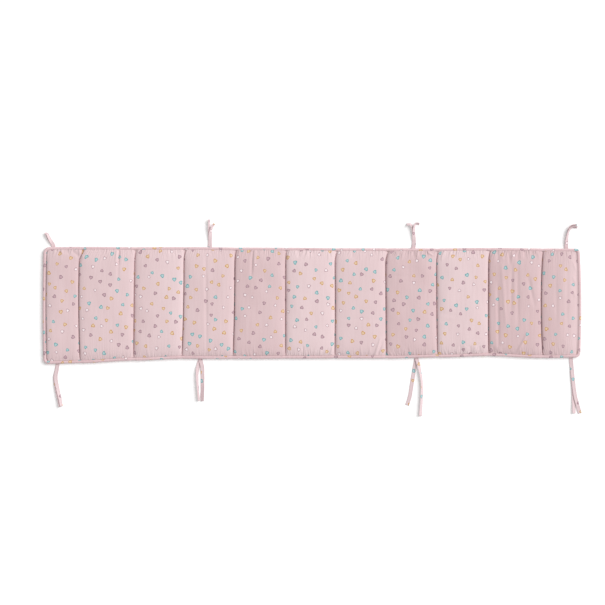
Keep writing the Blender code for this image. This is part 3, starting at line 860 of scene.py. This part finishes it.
class Signal:
    """A node's output, which takes part in Python expressions by adding Math nodes."""

    def __init__(self, finish, socket):
        self.finish = finish
        self.socket = socket

    def of(self, output):
        """Another output of the same node."""
        return Signal(self.finish, self.socket.node.outputs[output])

    def maths(self, operation, *values):
        return self.finish.node("Math", {"operation": operation}, dict(enumerate(values)))

    def __add__(self, other):
        return self.maths("ADD", self, other)

    __radd__ = __add__

    def __sub__(self, other):
        return self.maths("SUBTRACT", self, other)

    def __rsub__(self, other):
        return self.maths("SUBTRACT", other, self)

    def __mul__(self, other):
        return self.maths("MULTIPLY", self, other)

    __rmul__ = __mul__

    def __truediv__(self, other):
        return self.maths("DIVIDE", self, other)

    def __pow__(self, other):
        return self.maths("POWER", self, other)

    def __abs__(self):
        return self.maths("ABSOLUTE", self)


class Finish:
    """One material and its nodes."""

    def __init__(self, name, constants):
        self.material = bpy.data.materials.new(name)
        self.material.use_nodes = True
        self.tree = self.material.node_tree
        self.shader = self.tree.nodes["Principled BSDF"]
        for socket, value in constants.items():
            self.shader.inputs[socket].default_value = value

    def node(self, kind, settings=None, inputs=None, output=0):
        """Adds a node with its settings, then its sockets' values or links, and gives one of its outputs."""
        made = self.tree.nodes.new("ShaderNode" + kind)
        for setting, value in (settings or {}).items():
            if setting == "color_ramp":
                set_ramp(made.color_ramp, *value)
            else:
                setattr(made, setting, value)
        for key, value in (inputs or {}).items():
            if isinstance(value, Signal):
                self.tree.links.new(value.socket, made.inputs[key])
            else:
                made.inputs[key].default_value = value
        return Signal(self, made.outputs[output])

    def feed(self, socket, signal):
        self.tree.links.new(signal.socket, self.shader.inputs[socket])

    def mixed(self, share, start, end):
        """A colour between two."""
        return self.node("Mix", {"data_type": "RGBA"}, {0: share, 6: start, 7: end}, 2)

    def step(self, value, start, end):
        """0 at start and 1 at end, softly."""
        ranges = {"Value": value, "From Min": start, "From Max": end}
        return self.node("MapRange", {"interpolation_type": "SMOOTHSTEP"}, ranges)

    def parts(self, vector):
        return self.node("SeparateXYZ", {}, {0: vector})

    def stretches(self, value, stops, interpolation="CONSTANT"):
        """Greys along a value, each from its stop on, or blended between the stops."""
        return self.node("ValToRGB", {"color_ramp": (interpolation, stops)}, {0: value})

    def noise(self, place, size, detail=2.0, roughness=0.5):
        """Unevenness from 0 to 1 whose bumps are size metres across, two numbers."""
        scale = (1 / size[0], 1 / size[1], 1.0)
        scaled = self.node("Mapping", {}, {"Vector": place, "Scale": scale})
        inputs = {"Vector": scaled, "Scale": 1.0, "Detail": detail, "Roughness": roughness}
        return self.node("TexNoise", {"noise_dimensions": "2D"}, inputs)

    def bumped(self, height):
        """The surface's normal over a height in metres."""
        return self.node("Bump", {}, {"Strength": 1.0, "Distance": 1.0, "Height": height})


# The print: small hearts strewn over the ground, each with a darker rim
PRINT_PITCH = 0.0350
PRINT_TURN = math.radians(20.0)
PRINT_STRAY = 0.52
HEART_SMALL, HEART_SPREAD = 0.010648, 0.002904  # metres across: the smallest, and how much more
# Its edge is where x ** 2 + q ** 2 is 1, in half widths, with q = TALL * (y + DROP) - NOTCH * x ** 0.5
HEART_TALL, HEART_DROP, HEART_NOTCH = 1.14, 0.12, 0.72
HEART_EDGE, HEART_RIM = (1.04, 0.94), (0.56, 0.72)  # where it begins, and where its rim does
Print = namedtuple("Print", "until fill rim")  # until what chance, 0 to 1, a heart has these colours
PRINTS = (
    Print(0.26, ink(178, 207, 209), ink(90, 164, 168)),
    Print(0.54, ink(229, 202, 168), ink(202, 150, 86)),
    Print(0.77, ink(200, 169, 177), ink(156, 126, 136)),
    Print(1.00, ink(248, 234, 236), ink(186, 156, 162)),
)


def heart_print(finish, place, ground):
    """The ground with its hearts, and where they are, 0 to 1."""
    turned = finish.node("Mapping", {}, {"Vector": place, "Rotation": (0.0, 0.0, PRINT_TURN)})
    inputs = {"Vector": turned, "Scale": 1 / PRINT_PITCH, "Randomness": PRINT_STRAY}
    cell = finish.node("TexVoronoi", {"voronoi_dimensions": "2D", "feature": "F1"}, inputs, "Position")
    chance = finish.node("SeparateColor", {}, {0: cell.of("Color")})
    local = finish.node("VectorMath", {"operation": "SUBTRACT"}, {0: turned, 1: cell})
    spin = chance.of("Red") * (2.0 * math.pi)
    spun = finish.node("VectorRotate", {"rotation_type": "Z_AXIS"}, {"Vector": local, "Angle": spin})
    parts = finish.parts(spun)
    half = HEART_SMALL / 2 + HEART_SPREAD / 2 * chance.of("Blue")
    x = abs(parts.of("X") / half)
    q = HEART_TALL * (parts.of("Y") / half + HEART_DROP) - HEART_NOTCH * x ** 0.5
    reach = (x * x + q * q) ** 0.5
    fill, rim = PRINTS[0].fill, PRINTS[0].rim
    for before, after in zip(PRINTS, PRINTS[1:]):
        later = chance.of("Green").maths("GREATER_THAN", chance.of("Green"), before.until)
        fill = finish.mixed(later, fill, after.fill)
        rim = finish.mixed(later, rim, after.rim)
    inside = finish.step(reach, *HEART_EDGE)
    return finish.mixed(inside, ground, finish.mixed(finish.step(reach, *HEART_RIM), fill, rim)), inside


# The pleats at the borders, in metres: their size on the cloth and their height; the length of the shortest,
# how much longer the longest are, and over what size the length changes
PUCKER_SIZE, PUCKER_HEIGHT = (0.0120, 0.060), 0.0092
PUCKER_SHORT, PUCKER_SPREAD, PUCKER_STRIP = 0.0036, 0.0648, (0.017, 10.0)
# y of the two borders in the cloth's flat layout; the lower one is lower to the left of FALL_START
UPPER_BORDER, LOWER_BORDER = 0.176, -0.174
LOWER_FALL, FALL_START, FALL_END = 0.017, -0.43, -0.80


def puckers(finish, place, starts):
    """The height of the small pleats that the cloth makes where it is sewn in at its two borders."""
    parts = finish.parts(place)
    x = parts.of("X")
    y = parts.of("Y").maths("WRAP", parts.of("Y"), UNDER_CUT / 2, -UNDER_CUT / 2)
    lower = LOWER_BORDER - LOWER_FALL * finish.step(x, FALL_START, FALL_END)
    reach = PUCKER_SHORT + PUCKER_SPREAD * finish.noise(place, PUCKER_STRIP, 1.0)
    height = 0.0
    for border, away in (("upper_pucker", UPPER_BORDER - y), ("lower_pucker", y - lower)):
        strengths = [(start, getattr(channel, border)) for start, channel in starts]
        strength = finish.stretches(0.5 + 0.5 * x, strengths)
        height = height + finish.step(away / reach, 1.0, 0.0) * strength
    return PUCKER_HEIGHT * abs(finish.noise(place, PUCKER_SIZE, 1.0) - 0.5) * height


# The cloth's unevenness: the size of its bumps, metres across and along it, and their share in its tone
CLOUDS, CLOUD_SHARE = (0.11, 0.16), 0.30
STREAKS, STREAK_SHARE = (0.0075, 0.13), 0.25
WARP, WARP_SHARE = (0.0016, 0.05), 0.30
WEFT, WEFT_SHARE = (0.045, 0.0014), 0.15
TONE_ENDS = (0.30, 0.70)  # which tones give the deep shade and the light one
PAINTED_CHANNEL_LIGHT = 0.7  # how much of the ground's tone is its channel's painted light and shade
STEP_WIDTH = 0.0001  # in which the painted light and shade change at a line
ROUGHNESS, WARP_ROUGHNESS, PRINT_GLOSS = 0.86, 0.10, 0.06
# and the size of the bumps in its relief
CRINKLES, SMALL_CRINKLES, SMALL_SHARE = (0.012, 0.075), (0.004, 0.010), 0.25
YARNS_UP, YARNS_ACROSS, YARN_HEIGHT = (0.0006, 0.004), (0.004, 0.0006), 0.00004


def cloth_finish(name, light, deep, crinkle, starts=None):
    """Fine printed cotton: its ground between two shades, soft slubs, crinkles and a matt nap.

    crinkle is the height of the crinkles in metres. starts lists where each channel's cloth begins, 0 to 1 over
    a metre each way of the UV map's origin, with its channel, whose painted light and shade lighten or darken
    the ground from its left to its right.
    """
    finish = Finish(name, {"Sheen Weight": 0.25, "Sheen Roughness": 0.5, "Specular IOR Level": 0.2})
    place = finish.node("TexCoord", output="UV")
    warp = finish.noise(place, WARP, 3.0, 0.6)
    tone = WARP_SHARE * warp + WEFT_SHARE * finish.noise(place, WEFT, 3.0, 0.6)
    tone = tone + CLOUD_SHARE * finish.noise(place, CLOUDS) + STREAK_SHARE * finish.noise(place, STREAKS)
    shade = finish.step(tone, *TONE_ENDS)
    # Painted light and shade: each channel's ground is made lighter or darker, blending from its left to its
    # right, for how the light falls on it
    if starts:
        ends = [start for start, _ in starts[1:]] + [1.0 - starts[0][0]]
        stops = []
        for (start, channel), end in zip(starts, ends):
            stops += [(start, channel.light_left), (end - STEP_WIDTH, channel.light_right)]
        painted_channel_light = finish.stretches(0.5 + 0.5 * finish.parts(place).of("X"), stops, "LINEAR")
        shade = (1.0 - PAINTED_CHANNEL_LIGHT) * shade + PAINTED_CHANNEL_LIGHT * painted_channel_light
    colour, printed = heart_print(finish, place, finish.mixed(shade, ink(*deep), ink(*light)))
    finish.feed("Base Color", colour)
    finish.feed("Roughness", ROUGHNESS + WARP_ROUGHNESS * (warp - 0.5) - PRINT_GLOSS * printed)
    soft = finish.noise(place, CRINKLES, 3.0, 0.55) - 0.5
    small = finish.noise(place, SMALL_CRINKLES) - 0.5
    yarns = finish.noise(place, YARNS_UP, 1.0) + finish.noise(place, YARNS_ACROSS, 1.0)
    height = crinkle * soft + SMALL_SHARE * crinkle * small + YARN_HEIGHT * yarns
    if starts:
        height = height + puckers(finish, place, starts)
    finish.feed("Normal", finish.bumped(height))
    return finish.material


def thread_crease_shade_finish():
    """Two-ply sewing thread, a shade deeper than the cloth: partly its own pink, partly painted shade to darken
    the quilting creases it lies in.
    """
    finish = Finish("sewing_thread_crease_shade", {"Sheen Weight": 0.2, "Specular IOR Level": 0.4})
    place = finish.node("TexCoord", output="Object")
    uneven = finish.node("TexNoise", {}, {"Vector": place, "Scale": THREAD_BUMPS, "Detail": 2.0})
    # Partly painted shade: the thread is made deeper than the cloth so that the creases it lies in read darker
    finish.feed("Base Color", finish.mixed(uneven, ink(176, 138, 144), ink(204, 168, 174)))
    finish.feed("Roughness", 0.55 + 0.2 * uneven)
    finish.feed("Normal", finish.bumped(0.00005 * uneven))
    return finish.material


# ---- studio ----

MM_PER_PIXEL = 3.341  # of the photo, on the pad
PHOTO_WIDTH = 605
PHOTO_CENTRE = (-31.7, 2.7)  # where the photo's middle falls
LENS, SENSOR = 150.0, 36.0
LIGHT_TURN, LIGHT_HEIGHT, LIGHT_SPREAD = math.radians(30.0), math.radians(46.0), math.radians(40.0)
LIGHT_STRENGTH, SKY_STRENGTH = 2.25, 0.5
FLOOR_SIZE, FLOOR_GLOW = 60.0, 0.13


def make_studio():
    scene = bpy.context.scene
    bpy.ops.object.select_all(action="DESELECT")
    bpy.ops.mesh.primitive_plane_add(size=FLOOR_SIZE)
    floor = bpy.context.object
    floor.name = "studio_floor"
    paper = {"Base Color": (0.95, 0.95, 0.95, 1.0), "Roughness": 1.0, "Specular IOR Level": 0.0}
    glow = {"Emission Color": (1.0, 1.0, 1.0, 1.0), "Emission Strength": FLOOR_GLOW}
    floor.data.materials.append(Finish("studio_paper", {**paper, **glow}).material)

    sun = bpy.data.lights.new("softbox", "SUN")
    sun.energy = LIGHT_STRENGTH
    sun.angle = LIGHT_SPREAD
    aside = math.cos(LIGHT_HEIGHT)
    towards = Vector((math.cos(LIGHT_TURN) * aside, math.sin(LIGHT_TURN) * aside, math.sin(LIGHT_HEIGHT)))
    add_object("softbox", sun).rotation_euler = towards.to_track_quat("Z", "Y").to_euler()

    world = bpy.data.worlds.new("studio")
    world.use_nodes = True
    sky = world.node_tree.nodes["Background"].inputs
    sky["Color"].default_value = (1.0, 1.0, 1.0, 1.0)
    sky["Strength"].default_value = SKY_STRENGTH
    scene.world = world
    scene.view_settings.view_transform = "Standard"

    camera = bpy.data.cameras.new("camera")
    camera.lens = LENS
    camera.sensor_width = SENSOR
    camera.clip_end = 100.0
    scene.camera = add_object("camera", camera)
    height = PHOTO_WIDTH * MM_PER_PIXEL * LENS / SENSOR + PIPING_LIFT + PIPING_RADIUS
    scene.camera.location = (np.array((*PHOTO_CENTRE, height)) + (SHIFT[0], SHIFT[1], 0.0)) * MM


# ---- the whole thing ----

def dress(piece, material, replaces=None):
    """Gives a piece its finish and its place on the frame."""
    piece.data.materials.clear()
    piece.data.materials.append(material)
    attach(piece, "root")
    if replaces:
        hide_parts(replaces)


def main():
    make_studio()
    rolled = cloth_finish("printed_cotton_rolled", (228, 199, 202), (216, 185, 188), crinkle=0.0003)
    strips = cloth_finish("printed_cotton_strips", (230, 209, 211), (217, 193, 196), crinkle=0.0003)
    thread = thread_crease_shade_finish()

    pad, starts = make_pad()
    starts = [(0.5 + 0.5 * start, channel) for start, channel in zip(starts, CHANNELS)]
    # The pad's finish carries each channel's painted light and shade
    quilted = cloth_finish("printed_cotton", (233, 210, 212), (211, 181, 183), crinkle=0.00045, starts=starts)
    dress(pad, quilted, "pad")
    roll = make_piping()
    dress(roll, rolled, "piping")
    seams = []
    for seed, (name, tie) in enumerate(TIES.items(), 1):
        strip, length, edges = make_tie(name, tie, seed)
        dress(strip, strips, name)
        length * MM
        seams += edges
    dress(sew("tie_stitching", seams), thread)
    dress(sew("quilt_stitching", quilting_seams()), thread)


main()
